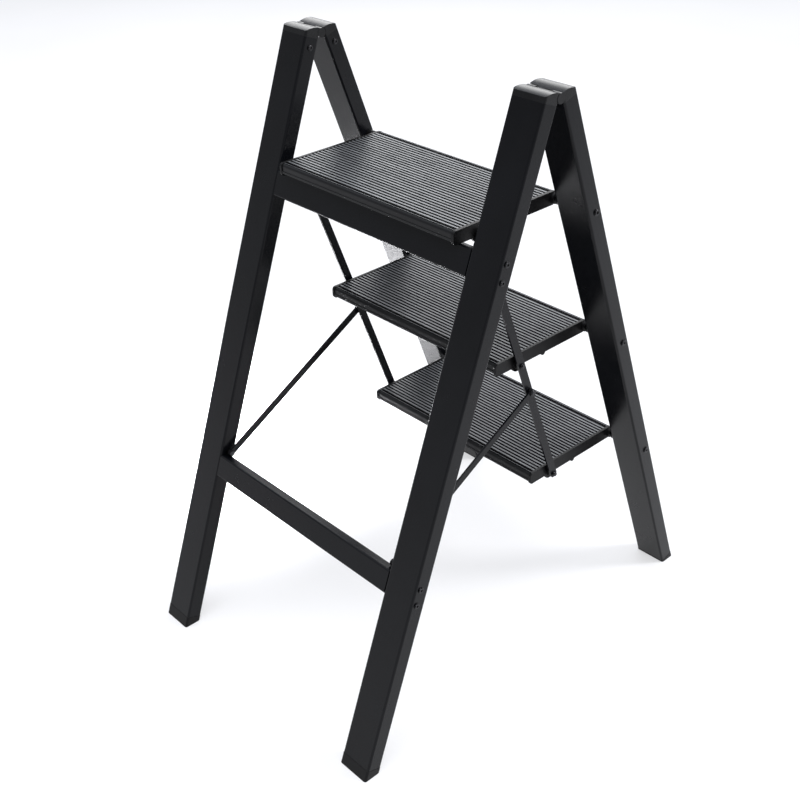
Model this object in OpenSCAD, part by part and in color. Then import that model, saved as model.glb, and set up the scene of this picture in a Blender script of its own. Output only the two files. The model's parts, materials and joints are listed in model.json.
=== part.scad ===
// Folding step stool with three treads, drawn open, standing on z = 0, climbed from the -Y side.
// Front legs, rear legs, treads, tie bars and braces are separate pieces on real pivots.

/* [Overall] */
// height from the floor to the crown of the hinge caps
overall_height = 850.6; // [700:0.1:1100]
// distance between the outer faces of the left and right legs
stance_width = 466; // [380:2:600]
// height of the main hinge axis above the floor
hinge_z = 841.8; // [700:0.1:1150]
// lean of the front legs from upright, degrees
front_tilt = 20.3; // [15:0.1:28]
// lean of the rear legs from upright, degrees
rear_tilt = 19.9; // [12:0.1:25]

/* [Leg tube] */
// tube width along X
leg_width = 50; // [30:1:60]
// tube depth
leg_depth = 24; // [18:1:30]
// tube wall
leg_wall = 1.8; // [1.2:0.1:3]
// outer corner radius of the tube
leg_corner = 3; // [1:0.5:6]
// distance from the hinge axis to the inner plane of each leg
hinge_gap = 2.9; // [2:0.1:8]

/* [Treads] */
// distance of the first tread pivot below the hinge, along the front leg
first_pivot = 175.5; // [150:0.1:230]
// spacing of the tread pivots along the front leg
tread_pitch = 225.4; // [200:0.1:260]
// depth of the pivots from the hinge plane, towards the front
pivot_depth = 17.2; // [14:0.1:26]
// half length of a tread including its end caps
tread_half = 164.5; // [120:0.5:200]
// thickness of an end cap
cap_thick = 4.2; // [3:0.1:8]
// distance from the pivot to the rear face of the tread
tread_rear = 176.3; // [160:0.1:230]
// radius of the rounded nose around the pivot
nose_radius = 8.3; // [7:0.1:12]
// height of the rear face of the tread
lip_height = 13.6; // [10:0.1:25]
// depth of the end cap below the tread top
cap_depth = 17.8; // [15:0.1:25]
// spacing of the grip ribs
rib_pitch = 6.27; // [4:0.01:10]
// rib height
rib_height = 0.9; // [0.4:0.1:2]

/* [Linkage] */
// rearward distance of the tie bar pins from the tread pivots
tie_pin_y = 135.4; // [100:0.1:180]
// vertical distance of the tie bar pins from the tread pivots
tie_pin_z = -6.3; // [-15:0.1:5]
// tie bar width
tie_width = 12.2; // [8:0.1:14]
// inner x plane of the tie bars
tie_x = 169.2; // [168:0.1:171]
// thickness of the tie bars and the braces
bar_thick = 3; // [2:0.5:4]
// inner x plane of the braces
brace_x = 174.9; // [173:0.1:178]
// brace width
brace_width = 9.8; // [8:0.1:12]
// brace bolt below the middle tie bar pin, along the bar
brace_bolt_drop = 48.8; // [30:0.1:80]
// brace rivet below the hinge, along the rear leg
brace_rivet_s = 608.5; // [550:0.5:609]
// brace rivet depth from the hinge plane
brace_rivet_n = 13.6; // [10:0.1:20]

/* [Rear crossbars] */
// thickness of the crossbars, flush with the rear faces of the legs
crossbar_thick = 17.2; // [15:0.1:22]
// top edge of the upper crossbar below the hinge, along the rear leg
upper_top = 188.4; // [180:0.1:230]
// depth of the upper crossbar
upper_depth = 35.1; // [25:0.1:50]
// top edge of the lower crossbar below the hinge, along the rear leg
lower_top = 613.8; // [613.5:0.1:720]
// depth of the lower crossbar
lower_depth = 32.9; // [25:0.1:50]
// depth of the crossbar screws from the hinge plane
crossbar_screw_n = 18; // [14:0.1:22]

/* [Hinge caps and feet] */
// distance below the hinge axis, along the leg, at which tube and hinge cap meet
cap_seam = 9.1; // [8:0.1:14]
// radius of the crown that each hinge cap has over its leg
crown_radius = 34; // [28:1:60]
// distance of the crest of a crown from the plane between the caps
crown_offset = 15.6; // [12:0.1:20]
// half the gap between the two caps of a leg pair
cap_gap = 0.8; // [0.3:0.1:1.5]
// radius of the knuckle that shows at each end of a hinge
end_knuckle_radius = 6.4; // [5.5:0.1:6.6]
// radius of the hidden knuckles
knuckle_radius = 5.4; // [4.5:0.1:5.5]
// radius of the hinge pin
hinge_pin_radius = 2.5; // [2:0.1:3]
// height above the floor of the middle of the seam between tube and front foot
front_foot_seam = 7.2; // [6:0.1:30]
// height above the floor of the middle of the seam between tube and rear foot
rear_foot_seam = 12.6; // [6:0.1:30]
// how far the foot stands proud of the tube
foot_proud = 0.4; // [0.2:0.1:2]

/* [Fits] */
// radial running clearance of the pivots
run_fit = 0.05; // [0.02:0.01:0.1]

/* [Hidden] */
$fn = 48;
eps = 0.01;
x_out = stance_width / 2;
x_in = x_out - leg_width;
x_mid = (x_out + x_in) / 2;
n_out = hinge_gap + leg_depth;
n_mid = hinge_gap + leg_depth / 2;
front_reach = hinge_z * tan(front_tilt) + (n_out + foot_proud) / cos(front_tilt);
rear_reach = hinge_z * tan(rear_tilt) + (n_out + foot_proud) / cos(rear_tilt);
hinge_y = (front_reach - rear_reach) / 2;
front_seam_s = (hinge_z + n_mid * sin(front_tilt) - front_foot_seam) / cos(front_tilt);
rear_seam_s = (hinge_z + n_mid * sin(rear_tilt) - rear_foot_seam) / cos(rear_tilt);
inner_width = leg_width - 2 * leg_wall;
inner_depth = leg_depth - 2 * leg_wall;
inner_corner = leg_corner - leg_wall;
pivot_radius = 3;
tie_pin_radius = 3;
brace_pin_radius = 3;
screw_radius = 2;
head_radius = 4.1;
head_height = 2.2;
tread_end = tread_half - cap_thick;
plate_thick = 2.2;
lip_wall = 2;
lip_radius = 5;
bead_proud = 0.8;
bead_height = 3.2;
nose_flat = 3.4;
last_rib = 4;
web_places = [62, 120];
web_foot = 10;
clip_places = [22, 78];
clip_length = 30;
clip_reach = 16;
cap_bump_y = 84;
cap_corner = 5;
cap_proud = 0.5;
boss_length = 22;
tie_boss_radius = 6.5;
spacer_x = tie_x + bar_thick + 0.5;
tread_top_z = nose_radius;
rib_count = floor((tread_rear - lip_radius - last_rib) / rib_pitch);
knuckle_gap = 0.2;
knuckle_length = (leg_width - 3 * knuckle_gap) / 4;
knuckle_relief = 0.6;
lug_proud = 0.3;
pin_cover = 2;
cap_screw_s = 22.4;
plug_length = 26;
ear_radius = 10.6;
upper_screw_s = 203.9;
lower_screw_s = lower_top + 14.8;
screw_half_pitch = 11.2;
boss_radius = 4.2;
crossbar_wall = 1.6;
crossbar_corner = 2.5;
collar_radius = 6.6;
bolt_head_radius = 4.6;
washer_radius = 4.6;
cap_screw_length = 12;
crossbar_screw_length = 14;
beyond = 5;
c_plastic = [0.09, 0.09, 0.1];
c_tube = [0.2, 0.21, 0.23];
c_tread = [0.26, 0.27, 0.29];
c_steel = [0.75, 0.76, 0.78];

function front_point(s, n) =
    [hinge_y - s * sin(front_tilt) - n * cos(front_tilt),
     hinge_z - s * cos(front_tilt) + n * sin(front_tilt)];
function rear_point(s, n) =
    [hinge_y + s * sin(rear_tilt) + n * cos(rear_tilt),
     hinge_z - s * cos(rear_tilt) + n * sin(rear_tilt)];
function tread_pivot(i) = front_point(first_pivot + i * tread_pitch, pivot_depth);
function tie_pin(i) = tread_pivot(i) + [tie_pin_y, tie_pin_z];
brace_top = tie_pin(1) + brace_bolt_drop * [-sin(front_tilt), -cos(front_tilt)];
brace_foot = rear_point(brace_rivet_s, brace_rivet_n);

// ---- helpers -------------------------------------------------------------

// rectangle with round corners, centred, built from squares and circles
module round_rect(w, d, r) {
    square([w - 2 * r, d], center = true);
    square([w, d - 2 * r], center = true);
    for (sx = [-1, 1], sy = [-1, 1])
        translate([sx * (w / 2 - r), sy * (d / 2 - r)])
            circle(r = r, $fn = 24);
}

// children drawn in the frame of a leg pair: -Z runs down the leg, |y| grows outwards
module front_frame() {
    translate([0, hinge_y, hinge_z])
        rotate([-front_tilt, 0, 0])
            children();
}

module rear_frame() {
    translate([0, hinge_y, hinge_z])
        rotate([rear_tilt, 0, 0])
            children();
}

// children placed in the frame of the front pair (face -1) or the rear pair (face 1)
module leg_frame(face) {
    if (face < 0)
        front_frame() children();
    else
        rear_frame() children();
}

// prism of a leg section between two distances s0 and s1 below the hinge, side is -1 or 1 in X
module leg_prism(side, face, s0, s1, w, d, r) {
    leg_frame(face)
        translate([side * x_mid, face * n_mid, -s1])
            linear_extrude(height = s1 - s0)
                round_rect(w, d, r);
}

// the space inside the tube between two distances below the hinge
module leg_core(side, face, s0, s1) {
    leg_prism(side, face, s0, s1, inner_width, inner_depth, inner_corner);
}

// cylinder along X from x0 to x1
module x_rod(x0, x1, r, fn = 40) {
    translate([min(x0, x1), 0, 0])
        rotate([0, 90, 0])
            cylinder(r = r, h = abs(x1 - x0), $fn = fn);
}

// rod at a world point p = [y, z], mirrored to a side
module side_rod(side, p, x0, x1, r, fn = 40) {
    translate([0, p[0], p[1]])
        x_rod(side * x0, side * x1, r, fn);
}

// screw head with a hexagon socket, face at x = x0, growing away by dir
module screw_head(x0, dir, r, h) {
    difference() {
        union() {
            x_rod(x0, x0 + dir * h * 0.55, r);
            x_rod(x0, x0 + dir * h, r * 0.8);
        }
        x_rod(x0 + dir * h * 0.4, x0 + dir * (h + 1), r * 0.45, 6);
    }
}

// ---- legs ----------------------------------------------------------------

// square-cut tube from the hinge cap down to the foot
module leg_tube(side, face) {
    seam = face < 0 ? front_seam_s : rear_seam_s;
    difference() {
        leg_prism(side, face, cap_seam, seam, leg_width, leg_depth, leg_corner);
        leg_core(side, face, cap_seam - 1, seam + 1);
    }
}

module front_leg(side) {
    color(c_tube)
        difference() {
            leg_tube(side, -1);
            for (i = [0 : 2])
                side_rod(side, tread_pivot(i), x_in - beyond, x_out + beyond, pivot_radius + run_fit);
            cap_screw_hole(side, -1);
        }
}

module rear_leg(side) {
    color(c_tube)
        difference() {
            leg_tube(side, 1);
            for (s = crossbar_screw_list())
                side_rod(side, rear_point(s, crossbar_screw_n), x_in - beyond, x_out + beyond,
                    screw_radius + run_fit);
            side_rod(side, brace_foot, x_in - beyond, x_in + beyond, brace_pin_radius + run_fit);
            cap_screw_hole(side, 1);
        }
}

function crossbar_screw_list() = [upper_screw_s - screw_half_pitch, upper_screw_s + screw_half_pitch,
    lower_screw_s - screw_half_pitch, lower_screw_s + screw_half_pitch];
function cap_screw_point(face) =
    face < 0 ? front_point(cap_screw_s, n_mid) : rear_point(cap_screw_s, n_mid);

module cap_screw_hole(side, face) {
    side_rod(side, cap_screw_point(face), x_in - beyond, x_in + cap_screw_length + 1,
        screw_radius + run_fit);
}

// ---- hinge caps ----------------------------------------------------------

// outer x of knuckle k, counted from the outer face, 0 and 2 on the front cap, 1 and 3 on the rear
function knuckle_x(k) = x_out - k * (knuckle_length + knuckle_gap);
function knuckle_r(k) = k == 0 || k == 3 ? end_knuckle_radius : knuckle_radius;

module knuckle_rods(side, list, more_radius, more_length) {
    for (k = list)
        side_rod(side, [hinge_y, hinge_z], knuckle_x(k) + more_length + (k == 0 ? lug_proud : 0),
            knuckle_x(k) - knuckle_length - more_length - (k == 3 ? lug_proud : 0),
            knuckle_r(k) + more_radius);
}

// body of a cap: the leg section carried up to the hinge, above that filled out to the plane
// between the caps, all under a crown that runs along X
module cap_block(side, face) {
    intersection() {
        union() {
            leg_prism(side, face, 0, cap_seam, leg_width, leg_depth, leg_corner);
            leg_frame(face)
                translate([side * x_mid, 0, 0])
                    linear_extrude(height = 60)
                        round_rect(leg_width, 2 * n_out, leg_corner);
        }
        translate([0, hinge_y + face * crown_offset, overall_height - crown_radius])
            x_rod(side * (x_in - beyond), side * (x_out + beyond), crown_radius, 144);
        translate([-400, face < 0 ? hinge_y - cap_gap - 200 : hinge_y + cap_gap, 0])
            cube([800, 200, 2000]);
    }
}

module hinge_cap(side, face) {
    own = face < 0 ? [0, 2] : [1, 3];
    other = face < 0 ? [1, 3] : [0, 2];
    bore = face < 0 ? hinge_pin_radius : hinge_pin_radius + run_fit;
    color(c_plastic)
        difference() {
            union() {
                difference() {
                    cap_block(side, face);
                    knuckle_rods(side, other, knuckle_relief, knuckle_gap + 0.05);
                }
                knuckle_rods(side, own, 0, 0);
                leg_core(side, face, cap_seam - eps, cap_seam + plug_length);
            }
            side_rod(side, [hinge_y, hinge_z], x_in + pin_cover, x_out - pin_cover, bore);
            side_rod(side, cap_screw_point(face), x_in - beyond, x_in + cap_screw_length + 1, screw_radius);
        }
}

module hinge_pins() {
    color(c_steel)
        for (side = [-1, 1])
            side_rod(side, [hinge_y, hinge_z], x_in + pin_cover + 0.2, x_out - pin_cover - 0.2,
                hinge_pin_radius);
}

module cap_screws(face) {
    color(c_steel)
        for (side = [-1, 1]) {
            p = cap_screw_point(face);
            side_rod(side, p, x_in, x_in + cap_screw_length, screw_radius);
            translate([0, p[0], p[1]])
                screw_head(side * x_in, -side, head_radius, head_height);
        }
}

// ---- feet ----------------------------------------------------------------

// square-topped foot under the tube, cut level with the floor, with a plug inside the tube
module foot(side, face) {
    seam = face < 0 ? front_seam_s : rear_seam_s;
    color(c_plastic)
        union() {
            intersection() {
                leg_prism(side, face, seam, seam + 60, leg_width + 2 * foot_proud,
                    leg_depth + 2 * foot_proud, leg_corner + foot_proud);
                translate([-400, -800, 0])
                    cube([800, 1600, 200]);
            }
            leg_core(side, face, seam - plug_length, seam + eps);
        }
}

// ---- crossbars -----------------------------------------------------------

// hollow extrusion from s0 down by depth, with two screw bosses round the middle at screw_s
module crossbar(s0, depth, screw_s) {
    n0 = n_out - crossbar_thick;
    boss_n = crossbar_screw_n;
    color(c_tube)
        rear_frame()
            translate([-x_in, 0, 0])
                rotate([90, 0, 90])
                    linear_extrude(height = 2 * x_in)
                        difference() {
                            translate([n0 + crossbar_thick / 2, -s0 - depth / 2])
                                round_rect(crossbar_thick, depth, crossbar_corner);
                            difference() {
                                translate([n0 + crossbar_thick / 2, -s0 - depth / 2])
                                    round_rect(crossbar_thick - 2 * crossbar_wall,
                                        depth - 2 * crossbar_wall, 1);
                                for (e = [-1, 1])
                                    translate([boss_n, -screw_s + e * screw_half_pitch]) {
                                        circle(r = boss_radius, $fn = 32);
                                        translate([n0 - boss_n, -1])
                                            square([boss_n - n0, 2]);
                                    }
                            }
                            for (e = [-1, 1])
                                translate([boss_n, -screw_s + e * screw_half_pitch])
                                    circle(r = screw_radius, $fn = 40);
                        }
}

module crossbar_screws() {
    color(c_steel)
        for (side = [-1, 1], s = crossbar_screw_list()) {
            p = rear_point(s, crossbar_screw_n);
            side_rod(side, p, x_in - crossbar_screw_length, x_out, screw_radius);
            translate([0, p[0], p[1]])
                screw_head(side * x_out, side, head_radius, head_height);
        }
}

// ---- treads --------------------------------------------------------------

// place children at tread i with the pivot at the origin
module at_tread(i) {
    p = tread_pivot(i);
    translate([0, p[0], p[1]])
        children();
}

// section of the tread in the y z plane, pivot at the origin: nose tube, ribbed plate, rear lip
// with a bead along its lower edge, and two webs underneath
module tread_section() {
    top = tread_top_z - rib_height;
    low = tread_top_z - lip_height;
    bend_y = tread_rear - lip_radius;
    difference() {
        union() {
            circle(r = nose_radius, $fn = 64);
            translate([0, top - plate_thick])
                square([bend_y, plate_thick]);
            translate([0, top - 3])
                square([nose_flat, 3 + rib_height]);
            for (i = [1 : rib_count])
                translate([i * rib_pitch, top - 1])
                    square([rib_pitch / 2, 1 + rib_height]);
            translate([bend_y - last_rib, top - 1])
                square([last_rib, 1 + rib_height]);
            translate([tread_rear - lip_wall, low])
                square([lip_wall, lip_height - lip_radius]);
            intersection() {
                translate([bend_y, tread_top_z - lip_radius])
                    difference() {
                        circle(r = lip_radius, $fn = 40);
                        circle(r = plate_thick, $fn = 32);
                    }
                translate([bend_y, tread_top_z - lip_radius])
                    square(lip_radius + 1);
            }
            translate([tread_rear - 4 * lip_wall, low])
                square([4 * lip_wall + bead_proud, lip_wall]);
            translate([tread_rear - lip_wall, low])
                square([lip_wall + bead_proud, bead_height]);
            for (y = web_places) {
                translate([y - lip_wall / 2, low])
                    square([lip_wall, top - low - 1]);
                translate([y - web_foot / 2, low])
                    square([web_foot, lip_wall]);
            }
        }
        circle(r = nose_radius - lip_wall, $fn = 64);
    }
}

module tread(i) {
    color(c_tread)
        at_tread(i)
            translate([-tread_end, 0, 0])
                rotate([90, 0, 90])
                    linear_extrude(height = 2 * tread_end)
                        tread_section();
}

// outline of an end cap in the y z plane
module cap_outline() {
    back = tread_rear + bead_proud + cap_proud;
    low = tread_top_z - cap_depth;
    circle(r = nose_radius + cap_proud, $fn = 64);
    translate([0, low])
        square([back - cap_corner, cap_depth + cap_proud]);
    translate([nose_radius, low + cap_corner])
        square([back - nose_radius, cap_depth + cap_proud - 2 * cap_corner]);
    for (z = [low + cap_corner, tread_top_z + cap_proud - cap_corner])
        translate([back - cap_corner, z])
            circle(r = cap_corner, $fn = 40);
    translate([tie_pin_y, tie_pin_z])
        circle(r = ear_radius, $fn = 48);
    translate([cap_bump_y, low + cap_proud])
        circle(r = 4, $fn = 32);
}

// end cap: side wall, pivot plug, tie pin boss and two clips under the top plate
module tread_cap(side, i) {
    face_x = tie_x - 0.3;
    color(c_plastic)
        at_tread(i)
            difference() {
                union() {
                    translate([side > 0 ? tread_end : -tread_half, 0, 0])
                        rotate([90, 0, 90])
                            linear_extrude(height = cap_thick)
                                cap_outline();
                    x_rod(side * (tread_end - boss_length), side * (tread_end + 1), nose_radius - lip_wall);
                    x_rod(side * (tread_end + 1), side * face_x, nose_radius - 1);
                    translate([0, tie_pin_y, tie_pin_z])
                        x_rod(side * (tread_end - clip_reach), side * face_x, tie_boss_radius);
                    for (y = clip_places)
                        translate([side > 0 ? tread_end - clip_reach : -tread_end - 1, y, -2])
                            cube([clip_reach + 1, clip_length, tread_top_z - rib_height - plate_thick + 2]);
                }
                x_rod(side * (tread_end - boss_length - beyond), side * (tie_x + beyond),
                    pivot_radius + run_fit);
                translate([0, tie_pin_y, tie_pin_z])
                    x_rod(side * (tread_end - boss_length - beyond), side * (tie_x + beyond),
                        tie_pin_radius + run_fit);
            }
}

module tread_pivot_bolts() {
    color(c_steel)
        for (side = [-1, 1], i = [0 : 2])
            at_tread(i) {
                x_rod(side * (tread_end - 20), side * x_out, pivot_radius);
                screw_head(side * x_out, side, bolt_head_radius, head_height);
            }
}

// collars between the legs and the layer in which the tie bars swing past the bolts
module tread_spacers() {
    color(c_plastic)
        for (side = [-1, 1], i = [0 : 2])
            at_tread(i)
                difference() {
                    x_rod(side * spacer_x, side * x_in, collar_radius);
                    x_rod(side * (spacer_x - 2), side * (x_in + 2), pivot_radius);
                }
}

// ---- linkage -------------------------------------------------------------

module tie_bar(side) {
    length = 2 * tread_pitch;
    p = tie_pin(0);
    color(c_tube)
        difference() {
            translate([side > 0 ? tie_x : -tie_x - bar_thick, p[0], p[1]])
                rotate([-front_tilt, 0, 0])
                    rotate([90, 0, 90])
                        linear_extrude(height = bar_thick)
                            union() {
                                translate([-tie_width / 2, -length])
                                    square([tie_width, length]);
                                circle(r = tie_width / 2, $fn = 48);
                                translate([0, -length])
                                    circle(r = tie_width / 2, $fn = 48);
                            }
            for (i = [0 : 2])
                side_rod(side, tie_pin(i), tie_x - 2, tie_x + bar_thick + 2, tie_pin_radius);
        }
}

module tie_pins(side) {
    x1 = tie_x + bar_thick;
    color(c_steel)
        for (i = [0 : 2]) {
            p = tie_pin(i);
            side_rod(side, p, tread_end - 14, x1, tie_pin_radius);
            side_rod(side, p, x1, x1 + 1.6, head_radius);
            side_rod(side, p, x1, x1 + 3.6, head_radius - 1.2);
        }
}

module brace(side) {
    d = brace_foot - brace_top;
    length = norm(d);
    angle = atan2(d[1], d[0]);
    color(c_tube)
        difference() {
            translate([side > 0 ? brace_x : -brace_x - bar_thick, brace_top[0], brace_top[1]])
                rotate([angle, 0, 0])
                    rotate([90, 0, 90])
                        linear_extrude(height = bar_thick)
                            union() {
                                translate([0, -brace_width / 2])
                                    square([length, brace_width]);
                                circle(r = brace_width / 2, $fn = 48);
                                translate([length, 0])
                                    circle(r = brace_width / 2, $fn = 48);
                            }
            side_rod(side, brace_top, brace_x - 2, brace_x + bar_thick + 2, brace_pin_radius);
            side_rod(side, brace_foot, brace_x - 2, brace_x + bar_thick + 2, brace_pin_radius + run_fit);
        }
}

// bolt through the upper end of a brace, with its washer; it stops short of the tie bar
module brace_bolt(side) {
    x0 = tie_x + bar_thick + 0.4;
    x1 = brace_x + bar_thick;
    color(c_steel)
        union() {
            side_rod(side, brace_top, x0, x1, brace_pin_radius);
            side_rod(side, brace_top, x0, brace_x, washer_radius);
            side_rod(side, brace_top, x1, x1 + 1.8, 5.2);
            side_rod(side, brace_top, x1, x1 + 3.2, 3.8);
        }
}

// rivets fixed in the rear legs, carrying the lower ends of the braces
module brace_rivets() {
    color(c_steel)
        for (side = [-1, 1]) {
            side_rod(side, brace_foot, brace_x - 0.3, x_in + 4, brace_pin_radius);
            side_rod(side, brace_foot, brace_x - 2, brace_x - 0.3, washer_radius);
            side_rod(side, brace_foot, brace_x + bar_thick + 0.3, x_in, washer_radius);
        }
}

// ---- nodes ---------------------------------------------------------------

front_leg(-1);  // front_leg_left
front_leg(1);  // front_leg_right
rear_leg(-1);  // rear_leg_left
rear_leg(1);  // rear_leg_right
hinge_cap(-1, -1);  // front_hinge_cap_left
hinge_cap(1, -1);  // front_hinge_cap_right
hinge_cap(-1, 1);  // rear_hinge_cap_left
hinge_cap(1, 1);  // rear_hinge_cap_right
hinge_pins();
cap_screws(-1);  // front_cap_screws
cap_screws(1);  // rear_cap_screws
foot(-1, -1);  // front_foot_left
foot(1, -1);  // front_foot_right
foot(-1, 1);  // rear_foot_left
foot(1, 1);  // rear_foot_right
crossbar(upper_top, upper_depth, upper_screw_s);  // upper_crossbar
crossbar(lower_top, lower_depth, lower_screw_s);  // lower_crossbar
crossbar_screws();
tread(0);  // tread_top
tread(1);  // tread_middle
tread(2);  // tread_lower
tread_cap(-1, 0);  // tread_cap_top_left
tread_cap(1, 0);  // tread_cap_top_right
tread_cap(-1, 1);  // tread_cap_middle_left
tread_cap(1, 1);  // tread_cap_middle_right
tread_cap(-1, 2);  // tread_cap_lower_left
tread_cap(1, 2);  // tread_cap_lower_right
tread_pivot_bolts();
tread_spacers();
tie_bar(-1);  // tie_bar_left
tie_bar(1);  // tie_bar_right
tie_pins(-1);  // tie_pins_left
tie_pins(1);  // tie_pins_right
brace(-1);  // brace_left
brace(1);  // brace_right
brace_bolt(-1);  // brace_bolt_left
brace_bolt(1);  // brace_bolt_right
brace_rivets();
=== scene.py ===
"""Looks of the folding step stool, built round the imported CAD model."""
import json
import math

import bmesh
import bpy
from mathutils import Matrix, Vector


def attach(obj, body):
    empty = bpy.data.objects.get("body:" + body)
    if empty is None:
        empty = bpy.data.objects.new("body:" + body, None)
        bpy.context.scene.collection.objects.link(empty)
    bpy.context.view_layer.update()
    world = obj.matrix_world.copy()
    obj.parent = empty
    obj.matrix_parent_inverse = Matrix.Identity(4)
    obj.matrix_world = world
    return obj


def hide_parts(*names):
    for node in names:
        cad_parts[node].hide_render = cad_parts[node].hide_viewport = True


MM = 0.001

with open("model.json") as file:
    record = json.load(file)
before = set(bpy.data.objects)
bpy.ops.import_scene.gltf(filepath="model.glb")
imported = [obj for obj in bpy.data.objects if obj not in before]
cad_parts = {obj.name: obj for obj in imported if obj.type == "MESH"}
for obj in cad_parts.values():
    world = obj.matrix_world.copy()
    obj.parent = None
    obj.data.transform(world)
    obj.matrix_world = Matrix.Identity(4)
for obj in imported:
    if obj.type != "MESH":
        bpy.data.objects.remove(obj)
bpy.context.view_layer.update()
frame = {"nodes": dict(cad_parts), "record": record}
record = frame["record"]
body_of_node = {n: b for b, nodes in record["behaviour"]["bodies"].items() for n in nodes}
slot_of_node = {s["node"]: s["material_slot"] for s in record["subparts"]}


# ---- node helpers --------------------------------------------------------

def new_material(name):
    """An empty node material with a Principled shader wired to its output."""
    mat = bpy.data.materials.new(name)
    mat.use_nodes = True
    tree = mat.node_tree
    tree.nodes.clear()
    out = tree.nodes.new("ShaderNodeOutputMaterial")
    shader = tree.nodes.new("ShaderNodeBsdfPrincipled")
    tree.links.new(shader.outputs["BSDF"], out.inputs["Surface"])
    return mat, tree, shader


def coords(tree, factors=(1, 1, 1)):
    """Object coordinates in metres, multiplied by a factor along each axis."""
    where = tree.nodes.new("ShaderNodeTexCoord")
    mapping = tree.nodes.new("ShaderNodeMapping")
    mapping.inputs["Scale"].default_value = factors
    tree.links.new(where.outputs["Object"], mapping.inputs["Vector"])
    return mapping.outputs["Vector"]


def noise(tree, vector, scale, detail=2.0, roughness=0.5):
    """Noise from 0 to 1; scale is about the number of spots in a metre."""
    tex = tree.nodes.new("ShaderNodeTexNoise")
    tex.inputs["Scale"].default_value = scale
    tex.inputs["Detail"].default_value = detail
    tex.inputs["Roughness"].default_value = roughness
    tree.links.new(vector, tex.inputs["Vector"])
    return tex.outputs["Fac"]


def ramp(tree, factor, stops):
    """Colour ramp; stops are (position, (r, g, b)) or (position, value)."""
    node = tree.nodes.new("ShaderNodeValToRGB")
    element = node.color_ramp.elements
    while len(element) < len(stops):
        element.new(0.5)
    for e, (position, value) in zip(element, stops):
        e.position = position
        colour = value if isinstance(value, tuple) else (value, value, value)
        e.color = (*colour, 1.0)
    tree.links.new(factor, node.inputs["Fac"])
    return node.outputs["Color"]


def bump(tree, height, strength, distance, normal=None):
    """Fine relief, distance in metres, on top of another relief if one is given."""
    node = tree.nodes.new("ShaderNodeBump")
    node.inputs["Strength"].default_value = strength
    node.inputs["Distance"].default_value = distance
    tree.links.new(height, node.inputs["Height"])
    if normal is not None:
        tree.links.new(normal, node.inputs["Normal"])
    return node.outputs["Normal"]


# ---- materials -----------------------------------------------------------

# darkest and lightest colour of each uneven surface
TUBE_BLACK = ((0.0016, 0.0018, 0.0025), (0.0030, 0.0033, 0.0044))
TREAD_BLACK = ((0.0022, 0.0024, 0.003), (0.0045, 0.0048, 0.0056))
# painted shade: the grooves between the ribs are coloured darker than the tread coat
GROOVE_SHADE_BLACK = ((0.0006, 0.0006, 0.0008), (0.0014, 0.0015, 0.0018))
# painted highlight: the pale grey of the rib crests stands in for the light they reflect
CREST_HIGHLIGHT_GREY = ((0.045, 0.048, 0.052), (0.095, 0.10, 0.107))
PLASTIC_BLACK = ((0.002, 0.002, 0.0023), (0.004, 0.004, 0.0044))
HINGE_BLACK = ((0.0022, 0.0023, 0.0027), (0.0042, 0.0044, 0.005))
STEEL_GREY = (0.045, 0.045, 0.047)
# how dark the tarnish on the fasteners is, against their clean colour
TARNISH = 0.6
# factors on the coordinates: below 1 draws spots out along an axis, above 1 squeezes them
STREAK_FACTORS = (0.12, 1, 1)
SCRATCH_FACTORS = (0.05, 1, 1)
TURNING_FACTORS = (1, 12, 12)


def coated_metal(name, shades, rough_low, rough_high, gloss_level):
    """Satin powder coat: faint blotches in the colour, uneven gloss, orange-peel grain."""
    mat, tree, shader = new_material(name)
    dark, light = shades
    vector = coords(tree)
    blotch = noise(tree, vector, scale=9.0, detail=4.0, roughness=0.6)
    tree.links.new(ramp(tree, blotch, [(0.3, dark), (0.75, light)]), shader.inputs["Base Color"])
    gloss = noise(tree, vector, scale=35.0, detail=5.0, roughness=0.65)
    tree.links.new(ramp(tree, gloss, [(0.25, rough_low), (0.8, rough_high)]), shader.inputs["Roughness"])
    peel = bump(tree, noise(tree, vector, scale=2600.0), strength=0.12, distance=0.12 * MM)
    wave = bump(tree, noise(tree, vector, scale=260.0), strength=0.05, distance=0.3 * MM, normal=peel)
    tree.links.new(wave, shader.inputs["Normal"])
    shader.inputs["Specular IOR Level"].default_value = gloss_level
    return mat


def crest_highlight(name, shades, roughness):
    """Crests of the grip ribs: a painted highlight, pale grey in streaks along X, with fine scratches.
    """
    mat, tree, shader = new_material(name)
    dark, light = shades
    streak = noise(tree, coords(tree, STREAK_FACTORS), scale=160.0, detail=4.0, roughness=0.7)
    tree.links.new(ramp(tree, streak, [(0.3, dark), (0.7, light)]), shader.inputs["Base Color"])
    tree.links.new(ramp(tree, streak, [(0.2, roughness + 0.1), (0.8, roughness - 0.05)]),
                   shader.inputs["Roughness"])
    scratch = noise(tree, coords(tree, SCRATCH_FACTORS), scale=2400.0)
    tree.links.new(bump(tree, scratch, strength=0.2, distance=0.1 * MM), shader.inputs["Normal"])
    return mat


def grained_plastic(name, shades, roughness, gloss_level, grain):
    """Moulded plastic with a fine spark-eroded grain."""
    mat, tree, shader = new_material(name)
    dark, light = shades
    vector = coords(tree)
    blotch = noise(tree, vector, scale=30.0, detail=3.0)
    tree.links.new(ramp(tree, blotch, [(0.35, dark), (0.7, light)]), shader.inputs["Base Color"])
    fine = noise(tree, vector, scale=1500.0)
    tree.links.new(ramp(tree, fine, [(0.2, roughness - 0.08), (0.8, roughness + 0.08)]),
                   shader.inputs["Roughness"])
    tree.links.new(bump(tree, fine, strength=grain, distance=0.15 * MM), shader.inputs["Normal"])
    shader.inputs["Specular IOR Level"].default_value = gloss_level
    return mat


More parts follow.
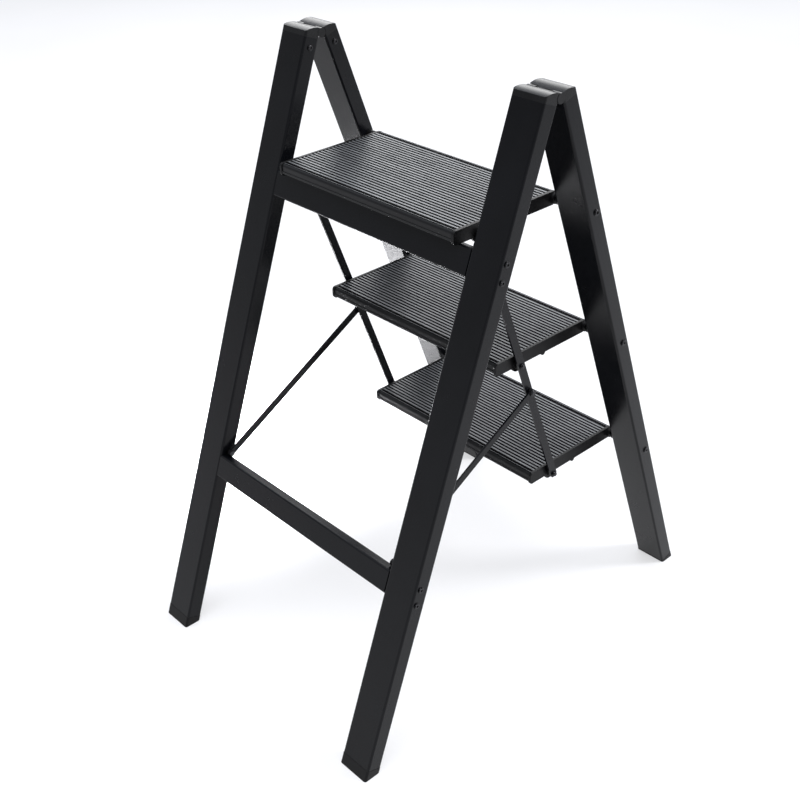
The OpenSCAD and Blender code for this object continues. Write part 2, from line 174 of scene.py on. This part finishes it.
def plated_steel(name, base, roughness):
    """Dark plated fastener with faint turning marks and tarnish."""
    mat, tree, shader = new_material(name)
    stain = noise(tree, coords(tree), scale=420.0, detail=4.0, roughness=0.7)
    darker = tuple(TARNISH * c for c in base)
    tree.links.new(ramp(tree, stain, [(0.3, darker), (0.65, base)]), shader.inputs["Base Color"])
    tree.links.new(ramp(tree, stain, [(0.2, roughness + 0.12), (0.8, roughness)]),
                   shader.inputs["Roughness"])
    marks = noise(tree, coords(tree, TURNING_FACTORS), scale=900.0)
    tree.links.new(bump(tree, marks, strength=0.12, distance=0.08 * MM), shader.inputs["Normal"])
    shader.inputs["Metallic"].default_value = 1.0
    return mat


MATERIALS = {
    "tube_coat": coated_metal("satin_black_coat", TUBE_BLACK, 0.20, 0.30, gloss_level=0.16),
    "tread_coat": coated_metal("tread_black_coat", TREAD_BLACK, 0.30, 0.42, gloss_level=0.20),
    "black_plastic": grained_plastic("black_plastic", PLASTIC_BLACK, 0.40, gloss_level=0.14, grain=0.25),
    "dark_steel": plated_steel("dark_steel", STEEL_GREY, 0.12),
}
HINGE_PLASTIC = grained_plastic("hinge_plastic", HINGE_BLACK, 0.28, gloss_level=0.22, grain=0.1)
# the rib crests' pale colour is a painted highlight
CREST = crest_highlight("crest_highlight", CREST_HIGHLIGHT_GREY, 0.4)
# painted shade in the rib grooves: a darker, duller copy of the tread coat
GROOVE = coated_metal("groove_painted_shade", GROOVE_SHADE_BLACK, 0.6, 0.75, gloss_level=0.02)


# ---- pieces --------------------------------------------------------------

# vertices closer than this, in mm, are joined before the rounding
MERGE_DISTANCE = 0.002
# faces that meet at less than this angle, in degrees, are joined into one
FLAT_ANGLE = 0.6
# edges sharper than this, in degrees, are rounded
SHARP_ANGLE = 32
# edges sharper than this, in degrees, still look sharp after the rounding
SHADING_ANGLE = 40
# edges shorter than this, in mm, are closed after the rounding
SLIVER = 0.004
# widths of the edge rounding in mm; the first entry found in a node's name counts
ROUNDING = (("hinge_cap", 0.9), ("tread_cap", 0.5), ("foot", 0.9), ("leg", 0.4), ("screws", 0.5),
            ("crossbar", 0.4), ("tread_pivot", 0.5), ("tread_spacers", 0.3), ("tread", 0.22),
            ("tie_bar", 0.35), ("brace_bolt", 0.4), ("brace_rivets", 0.3), ("brace", 0.35))
SMALL_ROUNDING = 0.3
ROUNDING_SEGMENTS = 2

# a face is level when its normal points up at least this much
LEVEL = 0.9
# depths in mm below the top of a tread
CREST_DEPTH = 0.12
GROOVE_DEPTH = 1.2
# the lip of a tread is wider than this, in mm, and keeps its coating
CREST_WIDTH = 3.2
# material indices of the coating, the crests' painted highlight and the grooves' painted shade of a
# tread
COAT_INDEX, CREST_INDEX, GROOVE_INDEX = range(3)


def rounding(node):
    """Width of the edge rounding of a node in mm."""
    return next((width for key, width in ROUNDING if key in node), SMALL_ROUNDING)


def softened_copy(node):
    """A copy of a CAD node with its coplanar faces joined and its sharp edges rounded."""
    mesh = frame["nodes"][node].data.copy()
    mesh.name = "soft_" + node
    bm = bmesh.new()
    bm.from_mesh(mesh)
    bmesh.ops.remove_doubles(bm, verts=bm.verts, dist=MERGE_DISTANCE * MM)
    bmesh.ops.dissolve_limit(bm, angle_limit=math.radians(FLAT_ANGLE), verts=bm.verts, edges=bm.edges)
    limit = math.radians(SHARP_ANGLE)
    sharp = [e for e in bm.edges if len(e.link_faces) == 2 and e.calc_face_angle(0) > limit]
    bmesh.ops.bevel(bm, geom=sharp, offset=rounding(node) * MM, offset_type="OFFSET",
                    segments=ROUNDING_SEGMENTS, profile=0.5, affect="EDGES", clamp_overlap=True)
    bmesh.ops.dissolve_degenerate(bm, dist=SLIVER * MM, edges=bm.edges)
    for f in bm.faces:
        f.smooth = True
    bm.to_mesh(mesh)
    bm.free()
    piece = bpy.data.objects.new("soft_" + node, mesh)
    bpy.context.scene.collection.objects.link(piece)
    mesh.set_sharp_from_angle(angle=math.radians(SHADING_ANGLE))
    weighted = piece.modifiers.new("weighted", "WEIGHTED_NORMAL")
    weighted.keep_sharp = True
    return piece


def mark_ribs(mesh):
    """Gives the narrow level faces on top of a tread the crest's painted highlight, and those between
    them the groove's painted shade.
    """
    top = max(v.co.z for v in mesh.vertices)
    for face in mesh.polygons:
        below = (top - face.center.z) / MM
        depths = [mesh.vertices[i].co.y / MM for i in face.vertices]
        level = face.normal.z > LEVEL
        if level and below < CREST_DEPTH and max(depths) - min(depths) < CREST_WIDTH:
            face.material_index = CREST_INDEX
        elif level and below < GROOVE_DEPTH:
            face.material_index = GROOVE_INDEX
        else:
            face.material_index = COAT_INDEX


def dress(piece, node):
    """Gives a piece the place of the CAD node that it stands for, and the material of that node's slot.
    """
    slot = slot_of_node[node]
    piece.data.materials.clear()
    piece.data.materials.append(HINGE_PLASTIC if "hinge_cap" in node else MATERIALS[slot])
    if slot == "tread_coat":
        # treads also get a painted highlight on the rib crests and painted shade in the grooves
        piece.data.materials.append(CREST)
        piece.data.materials.append(GROOVE)
        mark_ribs(piece.data)
    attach(piece, body_of_node[node])
    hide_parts(node)


for name in sorted(frame["nodes"]):
    dress(softened_copy(name), name)


# ---- studio --------------------------------------------------------------

FLOOR_SIZE = 60
# the floor's own colour, in faint patches
FLOOR_DARK = (0.29, 0.29, 0.30)
FLOOR_LIGHT = (0.31, 0.31, 0.32)
FLOOR_PATCHES = 1.5
FLOOR_ROUGHNESS = 0.8
FLOOR_GLOSS = 0.1
# light given off by the floor, which makes it look pale
FLOOR_GLOW = 0.55
SKY_LOW = (0.50, 0.51, 0.53)
SKY_MIDDLE = (0.24, 0.24, 0.25)
SKY_HIGH = (0.88, 0.92, 1.0)
SKY_STRENGTH = 1.2
# name, place and target in metres, width and length in metres, power in watts, spread in degrees
LIGHTS = (
    ("key_top", (-0.4, 0.6, 3.4), (0, 0, 0.3), (3.0, 3.0), 100, 180),
    ("far_panel", (2.6, -2.4, 2.0), (0, 0, 0.5), (2.6, 1.6), 45, 180),
    ("edge_strip", (-1.6, -1.45, 2.0), (-0.2, 0, 0.7), (0.5, 0.9), 60, 180),
    ("floor_pool", (0.62, -0.02, 1.3), (0.62, -0.02, 0), (0.3, 0.3), 17, 30),
)


def add_floor():
    """Grey floor that also glows, so that it looks pale but passes on less of the lamps' light."""
    bpy.ops.mesh.primitive_plane_add(size=FLOOR_SIZE, location=(0, 0, 0))
    floor = bpy.context.object
    floor.name = "studio_floor"
    mat, tree, shader = new_material("pale_floor")
    soft = noise(tree, coords(tree), FLOOR_PATCHES)
    tree.links.new(ramp(tree, soft, [(0.3, FLOOR_DARK), (0.7, FLOOR_LIGHT)]),
                   shader.inputs["Base Color"])
    shader.inputs["Roughness"].default_value = FLOOR_ROUGHNESS
    shader.inputs["Specular IOR Level"].default_value = FLOOR_GLOSS
    shader.inputs["Emission Color"].default_value = (1, 1, 1, 1)
    shader.inputs["Emission Strength"].default_value = FLOOR_GLOW
    floor.data.materials.append(mat)


def add_sky():
    """Sky that is light at the horizon, dim above it and bright overhead."""
    world = bpy.data.worlds.new("studio")
    bpy.context.scene.world = world
    world.use_nodes = True
    tree = world.node_tree
    where = tree.nodes.new("ShaderNodeTexCoord")
    split = tree.nodes.new("ShaderNodeSeparateXYZ")
    tree.links.new(where.outputs["Generated"], split.inputs["Vector"])
    sky = ramp(tree, split.outputs["Z"], [(0.12, SKY_LOW), (0.32, SKY_MIDDLE), (0.6, SKY_HIGH)])
    tree.links.new(sky, tree.nodes["Background"].inputs["Color"])
    tree.nodes["Background"].inputs["Strength"].default_value = SKY_STRENGTH


def area_light(name, place, target, size, power, spread):
    """A rectangular lamp aimed at a target."""
    data = bpy.data.lights.new(name, "AREA")
    data.shape = "RECTANGLE"
    data.size, data.size_y = size
    data.energy = power
    data.spread = math.radians(spread)
    lamp = bpy.data.objects.new(name, data)
    lamp.location = place
    lamp.rotation_euler = (Vector(target) - Vector(place)).to_track_quat("-Z", "Y").to_euler()
    bpy.context.scene.collection.objects.link(lamp)


add_floor()
add_sky()
for light in LIGHTS:
    area_light(*light)


# ---- camera --------------------------------------------------------------

# compass angle from +Y towards -X, height angle and roll in degrees; distance and aim point in metres
CAMERA_AZIMUTH = 47.67
CAMERA_ELEVATION = 31.417
CAMERA_ROLL = -1.406
CAMERA_DISTANCE = 1.6922
CAMERA_AIM = (0.0, 0.0397, 0.3705)
# sensor width and focal length in mm, shift as a share of the picture
SENSOR = 36.0
LENS = 53.5
SHIFT = (-0.0039, -0.0059)
# a camera looks down its own -Z, so its roll turns about Z
CAMERA_AXIS = Vector((0, 0, 1))


def add_camera():
    """The camera of the main view."""
    data = bpy.data.cameras.new("camera")
    data.sensor_width = SENSOR
    data.lens = LENS
    data.shift_x, data.shift_y = SHIFT
    camera = bpy.data.objects.new("camera", data)
    azimuth = math.radians(CAMERA_AZIMUTH)
    elevation = math.radians(CAMERA_ELEVATION)
    level = math.cos(elevation)
    away = Vector((-level * math.sin(azimuth), level * math.cos(azimuth), math.sin(elevation)))
    camera.location = Vector(CAMERA_AIM) + away * CAMERA_DISTANCE
    turn = (-away).to_track_quat("-Z", "Y").to_matrix().to_4x4()
    roll = Matrix.Rotation(math.radians(CAMERA_ROLL), 4, CAMERA_AXIS)
    camera.rotation_euler = (turn @ roll).to_euler()
    bpy.context.scene.collection.objects.link(camera)
    bpy.context.scene.camera = camera


add_camera()
bpy.context.scene.view_settings.view_transform = "Standard"
